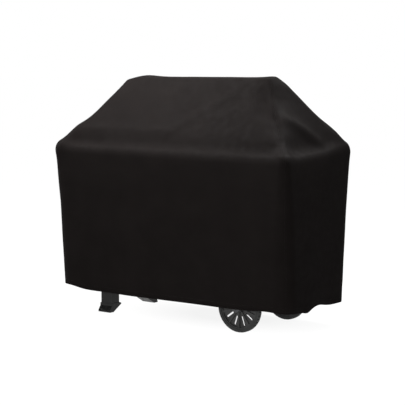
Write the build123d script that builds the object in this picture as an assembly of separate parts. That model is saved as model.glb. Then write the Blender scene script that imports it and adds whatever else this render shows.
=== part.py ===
"""A fitted grill cover standing over its wheeled grill.

Millimetres. X runs along the grill, towards the wheels; Y runs from front to back; Z is up.
The origin is on the floor, under the middle of the cover.
"""
from build123d import *
import os

# ---------------------------------------------------------------- driving dimensions
# The cover: a hipped roof over four straight drops that draw in a little towards the hem.
COVER_WIDTH = 1450          # at the shoulder
COVER_DEPTH = 610           # at the shoulder
ROOF_LENGTH = 906           # the flat along the top
ROOF_DEPTH = 60
HEM_Z = 125
SHOULDER_Z = 860
ROOF_Z = 1228
END_INSET = 2               # how far the hem lies inside the shoulder at each end
SIDE_INSET = 31             # and along the front and the back, where it hangs free of the tables
CLOTH = 1.5
HEM_HEIGHT = 30             # turned up and stitched, so twice as thick
BINDING_WIDTH = 12          # bound seam allowance, standing inwards
BINDING_THICKNESS = 3

# The grill.
LEG_WIDTH = 74
LEG_DEPTH = 62
LEG_WALL = 2
LEFT_LEG_X = -470
RIGHT_LEG_X = 401
LEG_Y = 150
FRAME_TOP_Z = 600
FOOT_HEIGHT = 32
RAIL = 40                   # square rails under the firebox
WHEEL_RADIUS = 122
WHEEL_WIDTH = 28
RIM_RADIUS = 104
RIB_COUNT = 10
TREAD_BLOCKS = 40
HUB_LENGTH = 44
WHEEL_Y = 205
AXLE_RADIUS = 6
FIXED_FIT = 0.05            # radial room round the axle in what stands still
RUNNING_FIT = 0.08          # radial room round the axle in the wheels
SHELF_Z = 220               # top of the bottom shelf
FIREBOX_LENGTH = 830
FIREBOX_DEPTH = 430
FIREBOX_RIM_Z = 859
SHEET = 2                   # steel of the firebox, the flange, the shelf and the tables
HOOD_LENGTH = 850
HOOD_DEPTH = 440
HOOD_TOP_Z = 1208
HOOD_SHEET = 1.5
HANDLE_RADIUS = 9
HANDLE_Y = -250
HANDLE_Z = 885
TABLE_Z = 862               # top of the side tables
TABLE_HALF_DEPTH = 262      # the hem has to pass over the tables as the cover lifts
TABLE_END_X = 698
TABLE_CORNER = 62           # rounded like the hem, which passes close by it
TABLE_EDGE = 22

# Worked out from those.
RIGHT_LEG_FOOT_Z = WHEEL_RADIUS - LEG_WIDTH / 2
LEG_OUTER_Y = LEG_Y + LEG_DEPTH / 2
LEG_INNER_Y = LEG_Y - LEG_DEPTH / 2
HUB_END_Y = WHEEL_Y + HUB_LENGTH / 2
AXLE_END_Y = HUB_END_Y + 5
TOP_SHEET_Z = ROOF_Z - CLOTH

parts = {}


def add(name, shape):
    """Keeps a finished sub-part under its node name."""
    parts[name] = shape


# ---------------------------------------------------------------- the cover
def half_size(z):
    """Half width and half depth of the cover's outside at height z."""
    if z <= SHOULDER_Z:
        share = (z - HEM_Z) / (SHOULDER_Z - HEM_Z)
        return COVER_WIDTH / 2 - END_INSET * (1 - share), COVER_DEPTH / 2 - SIDE_INSET * (1 - share)
    share = (z - SHOULDER_Z) / (ROOF_Z - SHOULDER_Z)
    half_width = COVER_WIDTH / 2 + (ROOF_LENGTH - COVER_WIDTH) / 2 * share
    half_depth = COVER_DEPTH / 2 + (ROOF_DEPTH - COVER_DEPTH) / 2 * share
    return half_width, half_depth


def flat_face(points, z):
    return Face(Wire.make_polygon([Vector(x, y, z) for x, y in points], close=True))


def wall_strip(side, z, thickness):
    """The cut through one side of the cover at height z, mitred at its corners."""
    half_width, half_depth = half_size(z)
    inner_width, inner_depth = half_width - thickness, half_depth - thickness
    sign = 1 if side in ("back", "right") else -1
    if side in ("front", "back"):
        points = [(-half_width, sign * half_depth), (half_width, sign * half_depth),
                  (inner_width, sign * inner_depth), (-inner_width, sign * inner_depth)]
    else:
        points = [(sign * half_width, -half_depth), (sign * half_width, half_depth),
                  (sign * inner_width, inner_depth), (sign * inner_width, -inner_depth)]
    return flat_face(points, z)


def wall(side, low_z, high_z, thickness):
    """One flat stretch of cloth between two heights."""
    return loft([wall_strip(side, low_z, thickness), wall_strip(side, high_z, thickness)], ruled=True)


def roof_sheet():
    """The flat along the top, with its edges on the slope of the roof."""
    outlines = []
    for z in (TOP_SHEET_Z, ROOF_Z):
        half_width, half_depth = half_size(z)
        corners = [(-half_width, -half_depth), (half_width, -half_depth),
                   (half_width, half_depth), (-half_width, half_depth)]
        outlines.append(flat_face(corners, z))
    return loft(outlines, ruled=True)


def binding_section(x_sign, y_sign, z):
    """A bound seam allowance, cut at height z: it starts in the corner and stands inwards."""
    half_width, half_depth = half_size(z)
    corner = Vector(x_sign * (half_width - CLOTH), y_sign * (half_depth - CLOTH), z)
    inwards = Vector(-x_sign, -y_sign, 0).normalized()
    across = Vector(-inwards.Y, inwards.X, 0)
    half = BINDING_THICKNESS / 2
    outline = [(0, 0), (half, half), (BINDING_WIDTH, half), (BINDING_WIDTH, -half), (half, -half)]
    return Face(Wire.make_polygon([corner + inwards * d + across * w for d, w in outline], close=True))


def corner_binding(x_sign, y_sign):
    """Runs up one corner of the cover from the hem and on along the hip of the roof."""
    heights = [HEM_Z + HEM_HEIGHT, SHOULDER_Z, TOP_SHEET_Z - BINDING_WIDTH]
    runs = [loft([binding_section(x_sign, y_sign, low), binding_section(x_sign, y_sign, high)], ruled=True)
            for low, high in zip(heights, heights[1:])]
    return runs[0] + runs[1]


def top_end_binding(x_sign):
    """Hangs under the end of the roof, where the top sheet meets the end slope."""
    strip = Box(BINDING_THICKNESS, ROOF_DEPTH - 4 * BINDING_WIDTH, BINDING_WIDTH)
    return Pos(x_sign * (ROOF_LENGTH / 2 - 8), 0, TOP_SHEET_Z - BINDING_WIDTH / 2) * strip


def make_cover():
    names = {"front": "body_front", "back": "body_back", "left": "left_end", "right": "right_end"}
    for side, name in names.items():
        add(f"{name}_drop", wall(side, HEM_Z + HEM_HEIGHT, SHOULDER_Z, CLOTH))
        add(f"{name}_slope", wall(side, SHOULDER_Z, TOP_SHEET_Z, CLOTH))
        add(f"{side}_hem", wall(side, HEM_Z, HEM_Z + HEM_HEIGHT, 2 * CLOTH))
    add("body_top", roof_sheet())
    for x_sign, x_name in ((-1, "left"), (1, "right")):
        for y_sign, y_name in ((-1, "front"), (1, "back")):
            add(f"{y_name}_{x_name}_seam_binding", corner_binding(x_sign, y_sign))
        add(f"top_{x_name}_seam_binding", top_end_binding(x_sign))


# ---------------------------------------------------------------- legs, feet and frame
def box_tube(width, depth, length):
    """A square-section tube along Z, with its corners rounded."""
    tube = Box(width, depth, length)
    tube = fillet(tube.edges().filter_by(Axis.Z), 2 * LEG_WALL)
    return tube - Box(width - 2 * LEG_WALL, depth - 2 * LEG_WALL, length)


def leg(x, y, low_z):
    height = FRAME_TOP_Z - low_z
    return Pos(x, y, low_z + height / 2) * box_tube(LEG_WIDTH, LEG_DEPTH, height)


def foot(outwards):
    """A moulded boot with a plug that fills the end of the leg.

    It stands on a toe along its outer side, and its sole rises from there to a lip on the inner side.
    outwards is -1 for a front leg and 1 for a back leg.
    """
    toe, heel, lip, lip_z, top_half = 49, 20, 42, 36, LEG_DEPTH / 2 + 2
    profile = [(toe, 0), (heel, 0), (-lip, lip_z), (-lip, lip_z + 5), (-top_half, lip_z + 9),
               (top_half, lip_z + 9), (top_half, FOOT_HEIGHT), (toe, 8)]
    width = LEG_WIDTH + 6
    section = Face(Wire.make_polygon([Vector(-width / 2, outwards * y, z) for y, z in profile], close=True))
    boot = extrude(section, width, dir=(1, 0, 0))
    leg_end = Box(LEG_WIDTH, LEG_DEPTH, 2 * FOOT_HEIGHT)
    boot -= Pos(0, 0, 2 * FOOT_HEIGHT) * fillet(leg_end.edges().filter_by(Axis.Z), 2 * LEG_WALL)
    plug_height = 28
    plug = Box(LEG_WIDTH - 2 * LEG_WALL - 2, LEG_DEPTH - 2 * LEG_WALL - 2, plug_height)
    return boot + Pos(0, 0, FOOT_HEIGHT + plug_height / 2) * plug


def bottom_shelf():
    """A steel tray with its edges turned down, held between the legs."""
    left = LEFT_LEG_X - LEG_WIDTH / 2
    right = RIGHT_LEG_X + LEG_WIDTH / 2
    length, depth, edge = right - left, 2 * LEG_INNER_Y, 25
    tray = Box(length, depth, edge) - Pos(0, 0, -SHEET) * Box(length - 2 * SHEET, depth - 2 * SHEET, edge)
    return Pos((left + right) / 2, 0, SHELF_Z - edge / 2) * tray


def make_frame():
    for name, y in (("front", -LEG_Y), ("back", LEG_Y)):
        add(f"{name}_left_leg", leg(LEFT_LEG_X, y, FOOT_HEIGHT))
        hole = Rot(90, 0, 0) * Cylinder(AXLE_RADIUS + FIXED_FIT, 2 * LEG_DEPTH)
        right_leg = leg(RIGHT_LEG_X, y, RIGHT_LEG_FOOT_Z) - Pos(RIGHT_LEG_X, y, WHEEL_RADIUS) * hole
        add(f"{name}_right_leg", right_leg)
        add(f"{name}_left_foot", Pos(LEFT_LEG_X, y, 0) * foot(y / LEG_Y))
    rail_z = FRAME_TOP_Z - RAIL / 2
    middle_x = (LEFT_LEG_X + RIGHT_LEG_X) / 2
    long_rail = Rot(0, 90, 0) * box_tube(RAIL, RAIL, RIGHT_LEG_X - LEFT_LEG_X - LEG_WIDTH)
    cross_rail = Rot(90, 0, 0) * box_tube(RAIL, RAIL, 2 * LEG_INNER_Y)
    for name, y in (("front", -LEG_Y), ("back", LEG_Y)):
        add(f"{name}_top_rail", Pos(middle_x, y, rail_z) * long_rail)
    for name, x in (("left", LEFT_LEG_X), ("right", RIGHT_LEG_X)):
        add(f"{name}_cross_rail", Pos(x, 0, rail_z) * cross_rail)
    add("bottom_shelf", bottom_shelf())
    add("leg_bolts", leg_bolts())


def leg_bolts():
    """The heads of the bolts through the legs: one for the shelf and one for the top frame in each."""
    head_radius, head_height = 7, 4
    heads = []
    for x in (LEFT_LEG_X, RIGHT_LEG_X):
        for side in (-1, 1):
            for z in (SHELF_Z - 12, FRAME_TOP_Z - RAIL / 2):
                head = fillet(Cylinder(head_radius, head_height).edges().group_by(Axis.Z)[-1], 2)
                heads.append(Pos(x, side * (LEG_OUTER_Y + head_height / 2), z) * Rot(-90 * side, 0, 0) * head)
    return Compound(children=heads)


# ---------------------------------------------------------------- axle and wheels
def ring(outer, inner, length):
    return Cylinder(outer, length) - Cylinder(inner, length)


def tyre():
    """A plain band with tread blocks, its axis along Z."""
    groove_width, groove_depth, shoulder_radius = 5, 3, 7
    disc = fillet(Cylinder(WHEEL_RADIUS, WHEEL_WIDTH).edges(), shoulder_radius)
    band = disc - Cylinder(RIM_RADIUS, WHEEL_WIDTH)
    half_step = 180 / TREAD_BLOCKS
    for place in PolarLocations(WHEEL_RADIUS, TREAD_BLOCKS, half_step):
        band -= place * Box(2 * groove_depth, groove_width, WHEEL_WIDTH)
    return band


def rim():
    """The moulded centre: hub, seat of the tyre, and a web with slots between its ribs. Its outer side is +Z."""
    hub_radius, seat_thickness, seat_width, web = 24, 6, 22, 6
    inner_seat = RIM_RADIUS - seat_thickness
    slot_start, slot_end, slot_width = 44, 92, 9
    rib_width, rib_rise = 8, 9
    body = Cylinder(hub_radius, HUB_LENGTH)
    body += ring(RIM_RADIUS, inner_seat, seat_width)
    body += Cylinder(inner_seat + 1, web)
    rib_length = inner_seat + 2 - hub_radius / 2       # buried a little at both ends
    rib = Box(rib_length, rib_width, rib_rise, align=(Align.CENTER, Align.CENTER, Align.MIN))
    slot = extrude(SlotOverall(slot_end - slot_start, slot_width), web, both=True)
    half_step = 180 / RIB_COUNT
    for place in PolarLocations((slot_start + slot_end) / 2, RIB_COUNT):
        body -= place * slot
    for place in PolarLocations((hub_radius + rib_length) / 2, RIB_COUNT, half_step):
        body += place * rib
    return body - Cylinder(AXLE_RADIUS + RUNNING_FIT, 2 * HUB_LENGTH)


def hub_cap():
    """Snaps over the end of the hub and hides the end of the axle. Its inner face is at z 0."""
    height, radius, wall_thickness = 14, 20, 4
    cap = fillet(Cylinder(radius, height).edges().group_by(Axis.Z)[-1], 5)
    cap = Pos(0, 0, height / 2) * cap
    room = height - wall_thickness
    return cap - Pos(0, 0, room / 2) * Cylinder(radius - 5, room)


def across(shape, y, side):
    """Turns a shape made along Z so that its +Z side looks out of the grill, to the front or the back."""
    return Pos(RIGHT_LEG_X, side * y, WHEEL_RADIUS) * Rot(-90 * side, 0, 0) * shape


def make_running_gear():
    axle = Cylinder(AXLE_RADIUS, 2 * AXLE_END_Y)
    add("axle", across(axle, 0, 1))
    washer_thickness, nut_thickness = 1.6, 3
    washer = ring(16, AXLE_RADIUS + FIXED_FIT, washer_thickness)
    nut = ring(11, AXLE_RADIUS + FIXED_FIT, nut_thickness)
    washers, nuts = [], []
    for side, name in ((-1, "front"), (1, "back")):
        add(f"{name}_wheel_tyre", across(tyre(), WHEEL_Y, side))
        add(f"{name}_wheel_rim", across(rim(), WHEEL_Y, side))
        add(f"{name}_hub_cap", across(hub_cap(), HUB_END_Y, side))
        washers.append(across(washer, LEG_OUTER_Y + washer_thickness / 2, side))
        nuts.append(across(nut, HUB_END_Y + 1 + nut_thickness / 2, side))
    add("axle_washers", Compound(children=washers))
    add("axle_push_nuts", Compound(children=nuts))


# ---------------------------------------------------------------- firebox, hood and side tables
def rectangle_at(length, depth, z):
    return flat_face([(-length / 2, -depth / 2), (length / 2, -depth / 2),
                      (length / 2, depth / 2), (-length / 2, depth / 2)], z)


def tub(length, depth, low_z, knee_z, high_z, draw):
    """A tapered tub: narrow at low_z, full size from knee_z up to high_z."""
    outlines = [rectangle_at(length - draw, depth - draw, low_z), rectangle_at(length, depth, knee_z)]
    lower = loft(outlines, ruled=True)
    return lower + Pos(0, 0, (knee_z + high_z) / 2) * Box(length, depth, high_z - knee_z)


def firebox():
    knee_z, draw = 780, 90
    inner_length, inner_depth = FIREBOX_LENGTH - 2 * SHEET, FIREBOX_DEPTH - 2 * SHEET
    outside = tub(FIREBOX_LENGTH, FIREBOX_DEPTH, FRAME_TOP_Z, knee_z, FIREBOX_RIM_Z, draw)
    flange_length = 900
    outside += Pos(0, 0, FIREBOX_RIM_Z - SHEET / 2) * Box(flange_length, 2 * TABLE_HALF_DEPTH, SHEET)
    inside = tub(inner_length, inner_depth, FRAME_TOP_Z + SHEET, knee_z, FIREBOX_RIM_Z, draw)
    return outside - inside


def hood():
    """A folded steel lid, open below, that stands on the firebox flange."""
    half_depth, half_top, knee_z, fold_radius = HOOD_DEPTH / 2, 32, 925, 22
    profile = [(-half_depth, FIREBOX_RIM_Z), (-half_depth, knee_z), (-half_top, HOOD_TOP_Z),
               (half_top, HOOD_TOP_Z), (half_depth, knee_z), (half_depth, FIREBOX_RIM_Z)]
    section = Face(Wire.make_polygon([Vector(-HOOD_LENGTH / 2, y, z) for y, z in profile], close=True))
    block = extrude(section, HOOD_LENGTH, dir=(1, 0, 0))
    folds = [edge for edge in block.edges().filter_by(Axis.X) if edge.center().Z > FIREBOX_RIM_Z + 1]
    block = fillet(folds, fold_radius)
    return offset(block, amount=-HOOD_SHEET, openings=block.faces().sort_by(Axis.Z)[0])


def handle_bar(length):
    return Pos(0, HANDLE_Y, HANDLE_Z) * Rot(0, 90, 0) * Cylinder(HANDLE_RADIUS, length)


def handle_posts():
    post_x, post_radius = 200, 7
    reach = -HOOD_DEPTH / 2 - HANDLE_Y
    posts = [Pos(x, HANDLE_Y + reach / 2, HANDLE_Z) * Rot(90, 0, 0) * Cylinder(post_radius, reach)
             for x in (-post_x, post_x)]
    return Compound(children=[post - handle_bar(HOOD_LENGTH) for post in posts])


def hood_hinges():
    """Two knuckles on the back of the flange, against the hood."""
    width, leaf, knuckle_radius = 60, 16, 8
    hood_back = HOOD_DEPTH / 2
    hinge = Pos(0, hood_back + leaf / 2, FIREBOX_RIM_Z + 10) * Box(width, leaf, 20)
    hinge += Pos(0, hood_back + leaf, FIREBOX_RIM_Z + 11) * Rot(0, 90, 0) * Cylinder(knuckle_radius, width)
    return Compound(children=[Pos(x, 0, 0) * hinge for x in (-300, 300)])


def side_table(side):
    """A steel table with its edges turned down and its outer corners rounded."""
    inner_x = 454
    length = TABLE_END_X - inner_x
    block = Box(length, 2 * TABLE_HALF_DEPTH, TABLE_EDGE)
    outer_edges = block.edges().filter_by(Axis.Z).group_by(Axis.X)[-1]
    block = fillet(outer_edges, TABLE_CORNER)
    block = offset(block, amount=-SHEET, openings=block.faces().sort_by(Axis.Z)[0])
    placed = Pos(inner_x + length / 2, 0, TABLE_Z - TABLE_EDGE / 2) * block
    return placed if side > 0 else mirror(placed, Plane.YZ)


def table_brackets(side):
    """Two bars that carry a side table from the end wall of the firebox."""
    bar_height, bar_depth = 16, 20
    reach = TABLE_END_X - 1 - FIREBOX_LENGTH / 2
    bar = Box(reach, bar_depth, bar_height)
    x = side * (FIREBOX_LENGTH / 2 + reach / 2)
    z = TABLE_Z - TABLE_EDGE - bar_height / 2
    return Compound(children=[Pos(x, y, z) * bar for y in (-180, 180)])


def make_grill_top():
    add("firebox", firebox())
    add("hood", hood())
    add("hood_handle", fillet(handle_bar(500).edges(), 3))
    add("hood_handle_posts", handle_posts())
    add("hood_hinges", hood_hinges())
    for side, name in ((-1, "left"), (1, "right")):
        add(f"{name}_side_table", side_table(side))
        add(f"{name}_table_brackets", table_brackets(side))


make_cover()
make_frame()
make_running_gear()
make_grill_top()

os.makedirs("parts", exist_ok=True)
for node, shape in parts.items():
    export_step(shape, f"parts/{node}.step")
print(len(parts), "nodes")
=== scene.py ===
"""A black fabric grill cover over its wheeled grill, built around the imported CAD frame. Metres."""

import math

import bmesh
import bpy
import numpy as np
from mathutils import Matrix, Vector, noise


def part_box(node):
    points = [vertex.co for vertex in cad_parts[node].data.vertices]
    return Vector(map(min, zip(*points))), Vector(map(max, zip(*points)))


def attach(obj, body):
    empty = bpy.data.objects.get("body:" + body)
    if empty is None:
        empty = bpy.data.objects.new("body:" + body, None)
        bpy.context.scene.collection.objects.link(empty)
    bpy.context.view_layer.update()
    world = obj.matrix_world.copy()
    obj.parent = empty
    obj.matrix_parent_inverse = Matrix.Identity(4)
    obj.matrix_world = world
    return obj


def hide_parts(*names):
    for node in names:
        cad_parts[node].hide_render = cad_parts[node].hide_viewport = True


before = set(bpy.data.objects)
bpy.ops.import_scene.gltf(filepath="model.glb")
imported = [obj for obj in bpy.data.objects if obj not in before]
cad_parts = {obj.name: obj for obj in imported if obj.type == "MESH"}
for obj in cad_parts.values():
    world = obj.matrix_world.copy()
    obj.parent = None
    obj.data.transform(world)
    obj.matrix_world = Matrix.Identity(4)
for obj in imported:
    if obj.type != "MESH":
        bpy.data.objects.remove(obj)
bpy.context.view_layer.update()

# ---------------------------------------------------------------- sizes taken from the frame
HALF_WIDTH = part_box("body_front_drop")[1].x
HALF_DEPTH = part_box("left_end_drop")[1].y
SHOULDER_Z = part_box("body_front_drop")[1].z
HEM_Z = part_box("front_hem")[0].z
HEM_TOP_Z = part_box("front_hem")[1].z
END_INSET = HALF_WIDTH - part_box("front_hem")[1].x
SIDE_INSET = HALF_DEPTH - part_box("left_hem")[1].y
ROOF_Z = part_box("body_top")[1].z
ROOF_HALF_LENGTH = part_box("body_top")[1].x
ROOF_HALF_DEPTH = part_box("body_top")[1].y

CLOTH = 0.0012              # how thick the cloth is
SEAM_WIDTH = 0.012
SEAM_LINE_SHARE = 0.28      # how far a seam's rows of stitches lie from its middle, as a share of its width
SEAM_LINE_LIFT = 0.0006     # how far they stand out of the cloth
HEM_LINE_HEIGHT = 0.024     # how far the hem's stitches lie above its bottom edge
HEM_LINE_LIFT = 0.0002
STITCH_PITCH = 0.0062


# ---------------------------------------------------------------- materials
class Nodes:
    """A small helper that builds one material's node tree."""

    def __init__(self, name, color, roughness, **sockets):
        self.material = bpy.data.materials.new(name)
        self.material.use_nodes = True
        self.tree = self.material.node_tree
        self.shader = self.tree.nodes["Principled BSDF"]
        self.shader.inputs["Base Color"].default_value = (*color, 1.0)
        self.shader.inputs["Roughness"].default_value = roughness
        for socket, value in sockets.items():
            self.shader.inputs[socket.replace("_", " ")].default_value = value
        self.normal = None

    def add(self, kind, inputs=(), **settings):
        """A node of that kind. inputs maps its sockets to values or to other nodes' outputs."""
        node = self.tree.nodes.new(kind)
        for key, value in settings.items():
            setattr(node, key, value)
        for key, value in dict(inputs).items():
            if isinstance(value, bpy.types.NodeSocket):
                self.tree.links.new(value, node.inputs[key])
            else:
                node.inputs[key].default_value = value
        return node

    def math(self, operation, a, b=0.0):
        return self.add("ShaderNodeMath", {0: a, 1: b}, operation=operation).outputs[0]

    def coordinates(self, source="Object", stretch=(1, 1, 1)):
        place = self.add("ShaderNodeTexCoord").outputs[source]
        return self.add("ShaderNodeMapping", {"Vector": place, "Scale": stretch}).outputs[0]

    def noise(self, scale, detail=3.0, source="Object", stretch=(1, 1, 1)):
        where = self.coordinates(source, stretch)
        return self.add("ShaderNodeTexNoise", {"Vector": where, "Scale": scale, "Detail": detail}).outputs[0]

    def vary(self, socket, factor, low, high, ends=(0.35, 0.65)):
        """Runs a shader input between two values or colours as factor goes between its ends."""
        is_color = hasattr(low, "__len__")
        if is_color:
            ramp = self.add("ShaderNodeValToRGB", {"Fac": factor})
            for element, place, color in zip(ramp.color_ramp.elements, ends, (low, high)):
                element.position = place
                element.color = (*color, 1.0)
            value = ramp.outputs[0]
        else:
            inputs = {"Value": factor, "From Min": ends[0], "From Max": ends[1],
                      "To Min": low, "To Max": high}
            value = self.add("ShaderNodeMapRange", inputs).outputs[0]
        self.tree.links.new(value, self.shader.inputs[socket])

    def bump(self, height, distance, strength):
        inputs = {"Height": height, "Distance": distance, "Strength": strength}
        if self.normal is not None:
            inputs["Normal"] = self.normal
        self.normal = self.add("ShaderNodeBump", inputs).outputs[0]
        self.tree.links.new(self.normal, self.shader.inputs["Normal"])


def scaled(color, factor):
    return tuple(c * factor for c in color)


def woven(name, color, roughness, spacing, specular):
    """Plain-woven cloth. Its UVs are in metres, so spacing is the real distance between the yarns."""
    slack, yarn_relief = 0.0007, 0.0001
    n = Nodes(name, color, roughness, Specular_IOR_Level=specular)
    place = n.add("ShaderNodeSeparateXYZ", {0: n.coordinates("UV")})
    turns = 2 * math.pi / spacing
    warp = n.math("SINE", n.math("MULTIPLY", place.outputs[0], turns))
    weft = n.math("SINE", n.math("MULTIPLY", place.outputs[1], turns))
    over_under = n.math("MULTIPLY", warp, weft)
    uneven = n.noise(420, 2.0, "UV")
    n.vary("Base Color", n.noise(7, 5.0), scaled(color, 0.92), scaled(color, 1.08))
    n.vary("Roughness", n.noise(30, 4.0), roughness - 0.05, roughness + 0.06)
    n.bump(n.noise(14, 3.0), slack, 0.5)
    n.bump(n.math("ADD", over_under, uneven), yarn_relief, 0.5)
    return n.material


def moulded(name, color, roughness):
    """Moulded plastic with a fine spark-eroded grain and a little scuffing."""
    grain = 0.00008
    n = Nodes(name, color, roughness, Specular_IOR_Level=0.22)
    n.vary("Base Color", n.noise(18, 6.0), scaled(color, 0.8), scaled(color, 1.25))
    n.vary("Roughness", n.noise(45, 5.0), roughness - 0.08, roughness + 0.12)
    n.bump(n.noise(900, 2.0), grain, 0.7)
    return n.material


def coated(name, color, roughness, grain=0.00006, specular=0.5):
    """Powder-coated steel: a slight orange peel, and a tone that varies a little at random."""
    n = Nodes(name, color, roughness, Specular_IOR_Level=specular)
    n.vary("Base Color", n.noise(9, 6.0), scaled(color, 0.85), scaled(color, 1.2))
    n.vary("Roughness", n.noise(22, 3.0), roughness * 0.9, roughness * 1.25)
    n.bump(n.noise(600, 2.0), grain, 0.6)
    return n.material


def metal(name, color, roughness, stretch):
    """Bare or plated steel, brushed along the axis with the smallest stretch."""
    scratch_depth = 0.00003
    n = Nodes(name, color, roughness, Metallic=1.0)
    streaks = n.noise(250, 3.0, stretch=stretch)
    n.vary("Roughness", streaks, roughness - 0.08, roughness + 0.12)
    n.vary("Base Color", n.noise(40, 4.0), scaled(color, 0.85), color)
    n.bump(streaks, scratch_depth, 0.5)
    return n.material


def enamelled(name, color, roughness):
    """Smooth gloss enamel, a little duller in patches."""
    n = Nodes(name, color, roughness)
    n.vary("Roughness", n.noise(4, 2.0), roughness - 0.02, roughness + 0.04)
    return n.material


CLOTH_COLOR = (0.0047, 0.0038, 0.0036)
YARN_SPACING = 0.0011
TAPE_SPACING = 0.0016
cloth_outside = woven("cover_cloth_outside", CLOTH_COLOR, 0.75, YARN_SPACING, specular=0.02)
cloth_inside = woven("cover_cloth_inside", (0.020, 0.019, 0.020), 0.42, YARN_SPACING, specular=0.4)
tape = woven("binding_tape", (0.010, 0.009, 0.009), 0.7, TAPE_SPACING, specular=0.1)
thread = Nodes("sewing_thread", scaled(CLOTH_COLOR, 1.3), 0.6, Specular_IOR_Level=0.1).material
wheel_plastic = moulded("wheel_plastic", (0.022, 0.022, 0.0215), 0.36)
tyre_plastic = moulded("tyre_plastic", (0.014, 0.0145, 0.014), 0.5)
cap_plastic = moulded("hub_cap_plastic", (0.045, 0.045, 0.047), 0.35)
foot_plastic = moulded("foot_plastic", (0.0075, 0.0075, 0.0072), 0.42)
frame_paint = coated("frame_paint", (0.0080, 0.0080, 0.0076), 0.45, specular=0.2)
firebox_paint = coated("firebox_paint", (0.022, 0.022, 0.023), 0.62, grain=0.00012)
hood_enamel = enamelled("hood_enamel", (0.012, 0.012, 0.013), 0.26)
table_paint = coated("table_paint", (0.05, 0.05, 0.052), 0.42)
handle_steel = metal("handle_steel", (0.62, 0.61, 0.60), 0.28, stretch=(0.02, 1, 1))
zinc = metal("zinc_plate", (0.55, 0.56, 0.58), 0.3, stretch=(1, 0.05, 1))

# ---------------------------------------------------------------- CAD nodes keep their shape and get a finish
FINISHES = {
    "_leg": frame_paint,
    "_rail": frame_paint,
    "_table_brackets": frame_paint,
    "_foot": foot_plastic,
    "bottom_shelf": frame_paint,
    "_wheel_tyre": tyre_plastic,
    "_wheel_rim": wheel_plastic,
    "_hub_cap": cap_plastic,
    "axle": zinc,
    "axle_washers": zinc,
    "axle_push_nuts": zinc,
    "leg_bolts": zinc,
    "firebox": firebox_paint,
    "hood": hood_enamel,
    "hood_handle": handle_steel,
    "hood_handle_posts": frame_paint,
    "hood_hinges": frame_paint,
    "_side_table": table_paint,
}
# How wide the rounding of the edges is, on the nodes whose edges show.
BEVELS = {
    "_foot": 0.0018,
    "_wheel_rim": 0.0012,
    "_side_table": 0.0012,
    "bottom_shelf": 0.0012,
    "_rail": 0.001,
}
SHARPEST_SMOOTH_ANGLE = math.radians(40)
for node_name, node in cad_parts.items():
    for ending, finish in FINISHES.items():
        if node_name == ending or (ending.startswith("_") and node_name.endswith(ending)):
            node.data.materials.clear()
            node.data.materials.append(finish)
    for ending, width in BEVELS.items():
        if node_name.endswith(ending):
            bevel = node.modifiers.new("edges", "BEVEL")
            bevel.width = width
            bevel.segments = 2
            bevel.limit_method = "ANGLE"
            bevel.angle_limit = SHARPEST_SMOOTH_ANGLE

# ---------------------------------------------------------------- the cover's surface
# One grid covers the whole cloth: columns go round it, rows go from the hem up over the roof.
SIDE_STEPS = 110            # along the front and the back
END_STEPS = 46              # along each end
CORNER_STEPS = 16           # round each corner
COLUMNS = 2 * SIDE_STEPS + 2 * END_STEPS + 4 * CORNER_STEPS


def bent(points, reach, steps):
    """A polyline through points with each inner corner turned into a smooth bend.

    A bend starts its reach before the corner and ends as far after it. steps counts the points on each
    straight and each bend in turn. Returns the points and, for each, its place along the whole as a count
    of corners passed.
    """
    half_bend = 0.1             # how much of the count each half of a bend takes up
    points = [np.array(p, float) for p in points]
    line, place = [], []
    start = points[0]
    for i in range(1, len(points)):
        last = i == len(points) - 1
        corner = points[i]
        way_in = (corner - points[i - 1]) / np.linalg.norm(corner - points[i - 1])
        end = corner if last else corner - way_in * reach[i - 1]
        for k in range(steps[2 * i - 2]):
            share = k / steps[2 * i - 2]
            line.append(start + (end - start) * share)
            place.append(i - 1 + half_bend + (1 - 2 * half_bend) * share)
        if last:
            line.append(corner)
            place.append(float(i))
            break
        way_out = (points[i + 1] - corner) / np.linalg.norm(points[i + 1] - corner)
        after = corner + way_out * reach[i - 1]
        for k in range(steps[2 * i - 1]):
            t = k / steps[2 * i - 1]
            line.append((1 - t) ** 2 * end + 2 * t * (1 - t) * corner + t * t * after)
            place.append(i - half_bend + 2 * half_bend * t)
        start = after
    return np.array(line), np.array(place)


def profile():
    """Rows from the hem to the middle of the roof, each (inset of the ends, inset of the sides, height)."""
    ledge_depth, ledge_rise, dome = 0.035, 0.035, 0.002
    shoulder_bend, ledge_bend, roof_bend = 0.032, 0.026, 0.018
    corners = [(END_INSET, SIDE_INSET, HEM_Z), (0, 0, SHOULDER_Z),
               (ledge_depth, ledge_depth, SHOULDER_Z + ledge_rise),
               (HALF_WIDTH - ROOF_HALF_LENGTH, HALF_DEPTH - ROOF_HALF_DEPTH, ROOF_Z - dome),
               (HALF_WIDTH - ROOF_HALF_LENGTH + ROOF_HALF_DEPTH, HALF_DEPTH, ROOF_Z)]
    return bent(corners, reach=(shoulder_bend, ledge_bend, roof_bend), steps=(46, 12, 2, 10, 36, 8, 4))


rows, places = profile()
ROOF_EDGE_PLACE = 3.0       # the profile's fourth corner, where the roof's flat begins
# The radius of the cover's corners at places along the profile: wide at the hem, tight on the hips.
CORNER_RADII = ((0.0, 0.093), (0.6, 0.072), (0.9, 0.045), (1.1, 0.045),
                (2.2, 0.050), (2.9, 0.026), (4.0, 0.01))


def corner_radius(place, half_depth):
    at, radius = zip(*CORNER_RADII)
    return min(float(np.interp(place, at, radius)), half_depth)


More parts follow.
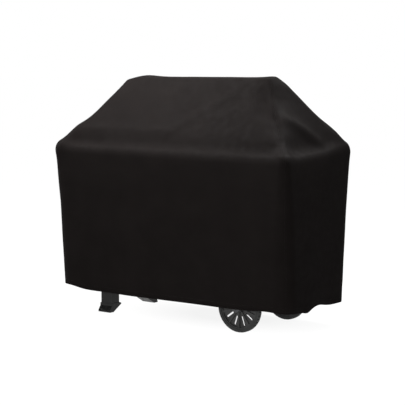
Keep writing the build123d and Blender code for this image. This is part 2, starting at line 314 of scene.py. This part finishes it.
def ring(end_inset, side_inset, place):
    """The points round the cover at one row, counted from the left end of the front, going right."""
    half_width = HALF_WIDTH - end_inset
    half_depth = max(0.0, HALF_DEPTH - side_inset)
    radius = corner_radius(place, half_depth)
    straight_x, straight_y = half_width - radius, half_depth - radius
    sides = [((-straight_x, -half_depth), (straight_x, -half_depth), SIDE_STEPS),
             ((half_width, -straight_y), (half_width, straight_y), END_STEPS),
             ((straight_x, half_depth), (-straight_x, half_depth), SIDE_STEPS),
             ((-half_width, straight_y), (-half_width, -straight_y), END_STEPS)]
    centres = [(straight_x, -straight_y), (straight_x, straight_y),
               (-straight_x, straight_y), (-straight_x, -straight_y)]
    points = []
    for quarter, (start, end, count) in enumerate(sides):
        start, end = np.array(start), np.array(end)
        points += [start + (end - start) * k / count for k in range(count)]
        first_angle = math.pi / 2 * (quarter - 1)
        for k in range(CORNER_STEPS):
            angle = first_angle + math.pi / 2 * k / CORNER_STEPS
            points.append(np.array(centres[quarter]) + radius * np.array([math.cos(angle), math.sin(angle)]))
    return points


def base_grid():
    grid = np.zeros((len(rows), COLUMNS, 3))
    for i, ((end_inset, side_inset, z), place) in enumerate(zip(rows, places)):
        grid[i, :, :2] = ring(end_inset, side_inset, place)
        grid[i, :, 2] = z
    return grid


def grid_normals(grid):
    """Outward unit normals of the grid, from the differences between its neighbours."""
    shortest = 1e-12
    round_it = np.roll(grid, -1, axis=1) - np.roll(grid, 1, axis=1)
    up = np.gradient(grid, axis=0)
    normals = np.cross(round_it, up)
    length = np.linalg.norm(normals, axis=2, keepdims=True)
    return np.where(length > shortest, normals / np.maximum(length, shortest), (0, 0, 1))


def from_segment(points, start, end):
    """How far each point is from a straight segment."""
    start, end = np.array(start), np.array(end)
    along = end - start
    share = np.clip(((points - start) @ along) / (along @ along), 0, 1)
    return np.linalg.norm(points - start - share[..., None] * along, axis=-1)


# Folds, hollows and sags: a line in space, how wide it is and how far the cloth stands out along it.
FOLDS = [
    # the hips sag a little between the hood and the tables, except the back right one, which bulges
    ((-0.566, -0.142, 1.076), (-0.516, -0.092, 1.145), 0.104, -0.010),
    ((-0.566, 0.142, 1.076), (-0.516, 0.092, 1.145), 0.104, -0.010),
    ((0.600, -0.180, 1.030), (0.520, -0.096, 1.136), 0.070, -0.016),
    ((0.650, 0.235, 0.960), (0.490, 0.065, 1.175), 0.080, 0.017),
    # the cloth stands full over the tables' corners
    ((-0.690, -0.270, 0.900), (-0.640, -0.225, 0.965), 0.060, 0.014),
    ((0.690, 0.270, 0.915), (0.640, 0.225, 0.975), 0.060, 0.006),
    # the cloth hangs a little hollow along the inner edge of the shoulder
    ((-0.620, -0.270, 0.895), (0.620, -0.270, 0.895), 0.042, -0.008),
    ((-0.620, 0.270, 0.895), (0.620, 0.270, 0.895), 0.042, -0.006),
    ((-0.580, -0.262, 0.905), (-0.440, -0.262, 0.905), 0.040, -0.005),
    ((0.690, -0.150, 0.908), (0.690, 0.060, 0.908), 0.072, -0.019),
    ((-0.690, -0.150, 0.900), (-0.690, 0.150, 0.900), 0.045, -0.007),
    # the right end: a ridge slants down it towards the back, and the hip in front of that is hollow
    ((0.600, -0.084, 1.030), (0.672, 0.066, 0.932), 0.036, 0.012),
    ((0.566, -0.172, 1.052), (0.648, -0.236, 0.950), 0.048, -0.015),
    # the left end has a narrower, lower ridge
    ((-0.550, 0.060, 1.100), (-0.660, -0.120, 0.950), 0.022, 0.006),
    # the front of the roof: a long faint crease that turns up to the ridge, and a hollow beside the right hip
    ((-0.540, -0.232, 0.975), (-0.030, -0.232, 0.966), 0.028, 0.004),
    ((-0.020, -0.232, 0.966), (0.300, -0.085, 1.165), 0.032, 0.004),
    ((0.455, -0.085, 1.160), (0.495, -0.140, 1.080), 0.052, -0.010),
    # the back of the roof has one short crease
    ((0.250, 0.245, 0.950), (-0.100, 0.160, 1.065), 0.035, 0.003),
    # the hem is pinched at its back right corner
    ((0.700, 0.235, 0.125), (0.704, 0.240, 0.200), 0.014, -0.006),
]
# How far the shoulder is raised at a corner. The rise fades to nothing at the other three.
LIFTS = [
    ((-HALF_WIDTH, -HALF_DEPTH), 0.007),
    ((HALF_WIDTH, -HALF_DEPTH), -0.009),
    ((HALF_WIDTH, HALF_DEPTH), 0.025),
]
# The ridge dips at its left end and is raised a little elsewhere: distance along X, reach, and the rise.
RIDGE_LIFTS = [(-ROOF_HALF_LENGTH, 0.07, -0.010), (-0.33, 0.07, 0.0066), (ROOF_HALF_LENGTH, 0.05, 0.002)]
# The hem isn't level: a place in plan, its reach, and the rise.
HEM_WAVES = [
    ((-0.660, -0.260), 0.090, 0.016),
    ((0.600, -0.270), 0.090, 0.009),
    ((0.723, -0.005), 0.070, 0.015),
    ((0.723, -0.108), 0.035, -0.010),
    ((-0.200, -0.275), 0.200, -0.002),
    ((0.100, 0.275), 0.150, 0.006),
    ((-0.450, 0.275), 0.120, -0.005),
    ((-0.723, 0.080), 0.080, 0.007),
]


def fold_field(points):
    rise = np.zeros(points.shape[:-1])
    for start, end, width, height in FOLDS:
        rise += height * np.exp(-((from_segment(points, start, end) / width) ** 2))
    return rise


def noise_field(points, size, seed):
    flat = points.reshape(-1, 3)
    offset = Vector((seed * 7.3, seed * 3.1, seed * 5.7))
    values = [noise.noise(Vector(p) / size + offset) for p in flat]
    return np.array(values).reshape(points.shape[:-1])


def bell(distance, reach):
    return np.exp(-((distance / reach) ** 2))


def height_changes(grid):
    """How far each point is raised: at the shoulder's corners, along the ridge and by the hem's waves."""
    shoulder_reach, roof_reach, ridge_reach, hem_reach, hem_fade = 0.16, 0.12, 0.10, 0.45, 1.5
    x, y, z = grid[..., 0], grid[..., 1], grid[..., 2]
    near_shoulder = bell(z - SHOULDER_Z, shoulder_reach)
    near_roof = bell(z - ROOF_Z, roof_reach) * bell(y, ridge_reach)
    near_hem = np.clip(1 - (z - HEM_Z) / hem_reach, 0, 1) ** hem_fade
    rise = np.zeros(x.shape)
    for (corner_x, corner_y), height in LIFTS:
        share = (1 + x / corner_x) / 2 * (1 + y / corner_y) / 2
        rise += height * share * near_shoulder
    for place, reach, height in RIDGE_LIFTS:
        rise += height * near_roof * bell(x - place, reach)
    for (place_x, place_y), reach, height in HEM_WAVES:
        rise += height * near_hem * bell(np.hypot(x - place_x, y - place_y), reach)
    return rise


# The cloth's unevenness: how far it stands out, the size of its swells and the seed of the noise.
DRAPE = (0.004, 0.17, 1)        # on the drops, growing towards the hem
SWELLS = ((0.0016, 0.16, 2), (0.0003, 0.05, 3))
DRAPE_GROWTH = 1.4
DRAPE_STRETCH = np.array([1.0, 1.0, 0.3])       # its swells run up and down


def shaped_grid():
    grid = base_grid()
    grid[..., 2] += height_changes(grid)
    normals = grid_normals(grid)
    below = np.clip((SHOULDER_Z - grid[..., 2]) / (SHOULDER_Z - HEM_Z), 0, 1)
    rise = fold_field(grid)
    height, size, seed = DRAPE
    rise += height * below ** DRAPE_GROWTH * noise_field(grid * DRAPE_STRETCH, size, seed)
    for height, size, seed in SWELLS:
        rise += height * noise_field(grid, size, seed)
    return grid + normals * rise[..., None]


cover_grid = shaped_grid()
ROOF_EDGE_ROW = int(np.argmin(np.abs(places - ROOF_EDGE_PLACE)))
# The middle columns of the four corners, where the seams run.
FRONT_RIGHT = SIDE_STEPS + CORNER_STEPS // 2
BACK_RIGHT = FRONT_RIGHT + END_STEPS + CORNER_STEPS
BACK_LEFT = BACK_RIGHT + SIDE_STEPS + CORNER_STEPS
FRONT_LEFT = BACK_LEFT + END_STEPS + CORNER_STEPS
SEAM_COLUMNS = (FRONT_RIGHT, BACK_RIGHT, BACK_LEFT, FRONT_LEFT)


def panel_of(row, column):
    """Which cut panel a face belongs to: the roof's flat and the long sides are one piece of cloth."""
    if row >= ROOF_EDGE_ROW:
        return "body"
    if FRONT_RIGHT <= column < BACK_RIGHT:
        return "right_end"
    if BACK_LEFT <= column < FRONT_LEFT:
        return "left_end"
    return "body"


def cloth_distances():
    """How far each grid point is up the cloth from the hem, for the weave's coordinates."""
    steps = np.linalg.norm(np.diff(cover_grid, axis=0), axis=2)
    return np.vstack([np.zeros(COLUMNS), np.cumsum(steps, axis=0)])


def mesh_object(name, points, faces, material, uvs=None):
    mesh = bpy.data.meshes.new(name)
    mesh.from_pydata([tuple(p) for p in points], [], faces)
    if uvs is not None:
        layer = mesh.uv_layers.new(name="cloth")
        for loop in mesh.loops:
            layer.data[loop.index].uv = uvs[loop.vertex_index]
    mesh.materials.append(material)
    mesh.polygons.foreach_set("use_smooth", [True] * len(mesh.polygons))
    obj = bpy.data.objects.new(name, mesh)
    bpy.context.scene.collection.objects.link(obj)
    return obj


def cover_panel(name, panel):
    """One cut piece of the cover, with its own thickness and its inside face coated."""
    weld = 1e-5
    up_cloth = cloth_distances()
    index, points, uvs, faces = {}, [], [], []
    along = 0 if panel == "body" else 1     # the axis that the weft runs along

    def vertex(row, column):
        column %= COLUMNS
        if (row, column) not in index:
            index[(row, column)] = len(points)
            point = cover_grid[row, column]
            points.append(point)
            uvs.append((point[along], up_cloth[row, column]))
        return index[(row, column)]

    for row in range(len(rows) - 1):
        for column in range(COLUMNS):
            if panel_of(row, column) == panel:
                faces.append((vertex(row, column), vertex(row, column + 1),
                              vertex(row + 1, column + 1), vertex(row + 1, column)))
    obj = mesh_object(name, points, faces, cloth_outside, uvs)
    edit = bmesh.new()
    edit.from_mesh(obj.data)
    bmesh.ops.remove_doubles(edit, verts=edit.verts, dist=weld)
    edit.to_mesh(obj.data)
    edit.free()
    obj.data.materials.append(cloth_inside)
    solid = obj.modifiers.new("thickness", "SOLIDIFY")
    solid.thickness = CLOTH
    solid.offset = -1
    solid.material_offset = 1
    return obj


body_cloth = cover_panel("cover_body_cloth", "body")
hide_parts("body_front_drop", "body_front_slope", "body_top", "body_back_slope",
            "body_back_drop")
left_cloth = cover_panel("cover_left_end_cloth", "left_end")
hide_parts("left_end_drop", "left_end_slope")
right_cloth = cover_panel("cover_right_end_cloth", "right_end")
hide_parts("right_end_drop", "right_end_slope")
for panel in (body_cloth, left_cloth, right_cloth):
    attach(panel, "cover")


# ---------------------------------------------------------------- hem, seams, bindings and stitches
def cloth_frame(row, column):
    """A point of the cloth with its outward normal and the directions round the cover and up the cloth."""
    column %= COLUMNS
    point = Vector(cover_grid[row, column])
    round_it = Vector(cover_grid[row, (column + 1) % COLUMNS] - cover_grid[row, column - 1]).normalized()
    above, under = min(row + 1, len(rows) - 1), max(row - 1, 0)
    up = Vector(cover_grid[above, column] - cover_grid[under, column]).normalized()
    return point, round_it.cross(up).normalized(), round_it, up


def swept(name, stations, section, closed, material):
    """A skin through the same section at each station. A station is (point, sideways, outwards)."""
    points, faces, uvs = [], [], []
    length, count = 0.0, len(section)
    for i, (point, sideways, outwards) in enumerate(stations):
        if i:
            length += (point - stations[i - 1][0]).length
        for across, out in section:
            points.append(point + sideways * across + outwards * out)
            uvs.append((across + out, length))
    last = len(stations) if closed else len(stations) - 1
    for i in range(last):
        first, second = i * count, (i + 1) % len(stations) * count
        for k in range(count):
            after = (k + 1) % count
            faces.append((first + k, first + after, second + after, second + k))
    if not closed:
        faces.append(tuple(range(count))[::-1])
        faces.append(tuple((len(stations) - 1) * count + k for k in range(count)))
    return mesh_object(name, points, faces, material, uvs)


def hem_band():
    """The turned-up cloth inside the bottom edge, and the rounded fold that it is turned at."""
    lip, top_gap, fold, proud = 0.002, 0.002, -0.0016, 0.0003
    height = HEM_TOP_Z - HEM_Z - top_gap
    against_cloth, inner = -1.05 * CLOTH, -2.1 * CLOTH
    section = [(0.0, proud), (fold, -0.4 * CLOTH), (fold, -1.6 * CLOTH), (0.0, inner),
               (height, inner), (height, against_cloth), (lip, against_cloth), (lip, proud)]
    stations = []
    for column in range(COLUMNS):
        point, outwards, _, up = cloth_frame(0, column)
        stations.append((point, up, outwards))
    return swept("cover_hem", stations, section, True, cloth_outside)


def seam_stations(column, first_row, last_row):
    stations = []
    for row in range(first_row, last_row + 1):
        point, outwards, round_it, _ = cloth_frame(row, column)
        stations.append((point, round_it, outwards))
    return stations


def top_seam_stations(first, last):
    """Along the edge of the roof's flat, over the top of one end."""
    stations = []
    for column in range(first, last + 1):
        point, outwards, _, up = cloth_frame(ROOF_EDGE_ROW, column)
        stations.append((point, up, outwards))
    return stations


SEAM_RUNS = {name: seam_stations(column, 0, ROOF_EDGE_ROW)
             for name, column in zip(("front_right", "back_right", "back_left", "front_left"), SEAM_COLUMNS)}
SEAM_RUNS["top_right"] = top_seam_stations(FRONT_RIGHT, BACK_RIGHT)
SEAM_RUNS["top_left"] = top_seam_stations(BACK_LEFT, FRONT_LEFT)


def felled_seam(name, stations):
    """The seam seen from outside: a lap of cloth, stitched down, a little proud of the panels."""
    half, flat_share, proud, sunk = SEAM_WIDTH / 2, 0.8, 0.0002, -0.0004
    section = [(-half, sunk), (-half * flat_share, proud), (half * flat_share, proud * 0.7), (half, sunk)]
    seam = swept(f"cover_{name}_seam", stations, section, False, cloth_outside)
    seam.data.polygons.foreach_set("use_smooth", [False] * len(seam.data.polygons))
    return seam


def seam_binding(name, stations):
    """The bound seam allowance, which stands inwards."""
    half, depth = 0.0011, 0.012
    section = [(-half, -CLOTH), (-half, -depth), (half, -depth), (half, -CLOTH)]
    return swept(f"cover_{name}_binding", stations, section[::-1], False, tape)


def stitch_rows(name, lines):
    """Rows of lock stitches: short threads, each sunk a little into the cloth at its ends."""
    points, faces = [], []
    radius, length, sides = 0.00042, 0.0044, 5
    # Each ring of a stitch: its place along it, its size, and how far it stands out of the cloth.
    rings = ((-0.5, 0.35, -0.0004), (-0.25, 1.0, 0.0002), (0.25, 1.0, 0.0002), (0.5, 0.35, -0.0004))
    for line in lines:
        travelled, due = 0.0, STITCH_PITCH / 2
        for (start, _, out_a), (end, _, out_b) in zip(line, line[1:]):
            step = (end - start).length
            while due <= travelled + step and step > 0:
                share = (due - travelled) / step
                centre = start.lerp(end, share)
                along = (end - start).normalized()
                outwards = out_a.lerp(out_b, share).normalized()
                sideways = along.cross(outwards).normalized()
                first = len(points)
                for place, size, lift in rings:
                    middle = centre + along * place * length + outwards * lift
                    for k in range(sides):
                        angle = 2 * math.pi * k / sides
                        offset = sideways * math.cos(angle) + outwards * math.sin(angle)
                        points.append(middle + offset * radius * size)
                for ring_number in range(len(rings) - 1):
                    ring_start = first + ring_number * sides
                    for k in range(sides):
                        a, b = ring_start + k, ring_start + (k + 1) % sides
                        faces.append((a, b, b + sides, a + sides))
                faces.append(tuple(first + k for k in range(sides))[::-1])
                faces.append(tuple(first + (len(rings) - 1) * sides + k for k in range(sides)))
                due += STITCH_PITCH
            travelled += step
    return mesh_object(name, points, faces, thread)


def moved_line(stations, across, out):
    return [(point + sideways * across + outwards * out, sideways, outwards)
            for point, sideways, outwards in stations]


def hem_line(height):
    """A closed line round the cover, that far up the cloth from its bottom edge."""
    line = []
    for column in range(COLUMNS + 1):
        point, outwards, _, up = cloth_frame(0, column)
        line.append((point + up * height + outwards * HEM_LINE_LIFT, up, outwards))
    return line


hem = hem_band()
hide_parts("front_hem", "back_hem", "left_hem", "right_hem")
trims = [hem]
for run_name, stations in SEAM_RUNS.items():
    binding = seam_binding(run_name, stations)
    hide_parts(f"{run_name}_seam_binding")
    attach(binding, "cover")
    trims.append(felled_seam(run_name, stations))
seam_lines = [moved_line(stations, side * SEAM_WIDTH * SEAM_LINE_SHARE, SEAM_LINE_LIFT)
              for stations in SEAM_RUNS.values() for side in (-1, 1)]
stitches = stitch_rows("cover_seam_stitches", seam_lines)
hem_stitches = stitch_rows("cover_hem_stitches", [hem_line(HEM_LINE_HEIGHT)])
for trim in trims + [stitches, hem_stitches]:
    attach(trim, "cover")

# ---------------------------------------------------------------- camera
CAMERA_PLACE = Vector((4.081, -5.448, 1.306))
CAMERA_YAW = math.radians(36.68)
CAMERA_PITCH = math.radians(6.01)
SENSOR_WIDTH = 36.0         # this and the lens in millimetres
LENS = 119.3
camera_data = bpy.data.cameras.new("camera")
camera_data.sensor_width = SENSOR_WIDTH
camera_data.lens = LENS
camera = bpy.data.objects.new("camera", camera_data)
camera.location = CAMERA_PLACE
camera.rotation_euler = (math.pi / 2 - CAMERA_PITCH, 0, CAMERA_YAW)
bpy.context.scene.collection.objects.link(camera)
bpy.context.scene.camera = camera

# ---------------------------------------------------------------- floor and light
# The floor glows white, a little less under the object, which leaves it a soft contact shadow.
# The shadow is an ellipse: a circle in the floor's coordinates once they are stretched.
WHITE = (1, 1, 1, 1)
FLOOR_REACH = 60
SHADOW_STRETCH = (1.6, 2.8, 1)
SHADOW_MIDDLE = (0.19, 0.33, 0)
SHADOW_ENDS = (0.35, 1.0)       # how far from its middle the shadow starts to fade, and where it is gone
SHADOW_GLOW = 0.885             # of the open floor's
floor_finish = Nodes("studio_floor", (0.03, 0.03, 0.03), 0.9, Specular_IOR_Level=0.0)
floor_finish.shader.inputs["Emission Color"].default_value = WHITE
floor_place = floor_finish.coordinates(stretch=SHADOW_STRETCH)
from_middle = floor_finish.add("ShaderNodeVectorMath", {0: floor_place, 1: SHADOW_MIDDLE},
                               operation="DISTANCE")
floor_finish.vary("Emission Strength", from_middle.outputs["Value"], SHADOW_GLOW, 1.0, ends=SHADOW_ENDS)
floor_finish.material.cycles.emission_sampling = "NONE"
floor_corners = [(-FLOOR_REACH, -FLOOR_REACH, 0), (FLOOR_REACH, -FLOOR_REACH, 0),
                 (FLOOR_REACH, FLOOR_REACH, 0), (-FLOOR_REACH, FLOOR_REACH, 0)]
floor = mesh_object("floor", floor_corners, [(0, 1, 2, 3)], floor_finish.material)

world = bpy.data.worlds.new("studio")
bpy.context.scene.world = world
world.use_nodes = True
world.node_tree.nodes["Background"].inputs["Color"].default_value = WHITE
world.node_tree.nodes["Background"].inputs["Strength"].default_value = 1.0
# The world is the white backdrop behind the object. The softboxes and the floor do the lighting.
world.cycles_visibility.diffuse = False
world.cycles_visibility.glossy = False
bpy.context.scene.view_settings.view_transform = "Standard"


def softbox(name, place, target, size, power):
    """A rectangular light at place, turned to face target. Its power is in watts."""
    data = bpy.data.lights.new(name, "AREA")
    data.shape = "RECTANGLE"
    data.size, data.size_y = size
    data.energy = power
    light = bpy.data.objects.new(name, data)
    light.location = place
    light.rotation_euler = (Vector(target) - Vector(place)).to_track_quat("-Z", "Y").to_euler()
    bpy.context.scene.collection.objects.link(light)


softbox("over_front", (-0.4, -0.6, 2.3), (-0.15, -0.1, 1.15), size=(1.2, 0.6), power=88)
softbox("over_left", (-1.3, -1.3, 2.7), (-0.5, -0.1, 1.0), size=(1.0, 1.0), power=22)
softbox("over_back", (0.2, 1.6, 3.8), (0.3, 0, 0.9), size=(1.6, 1.0), power=150)
softbox("back_right", (1.25, 1.5, 3.6), (0.5, 0, 0.9), size=(1.0, 1.0), power=185)
softbox("left", (-4.2, -0.4, 2.2), (-0.4, 0, 0.8), size=(1.2, 2.0), power=90)
softbox("low_front", (1.8, -5.0, 1.2), (0, 0, 0.5), size=(2.0, 1.2), power=215)
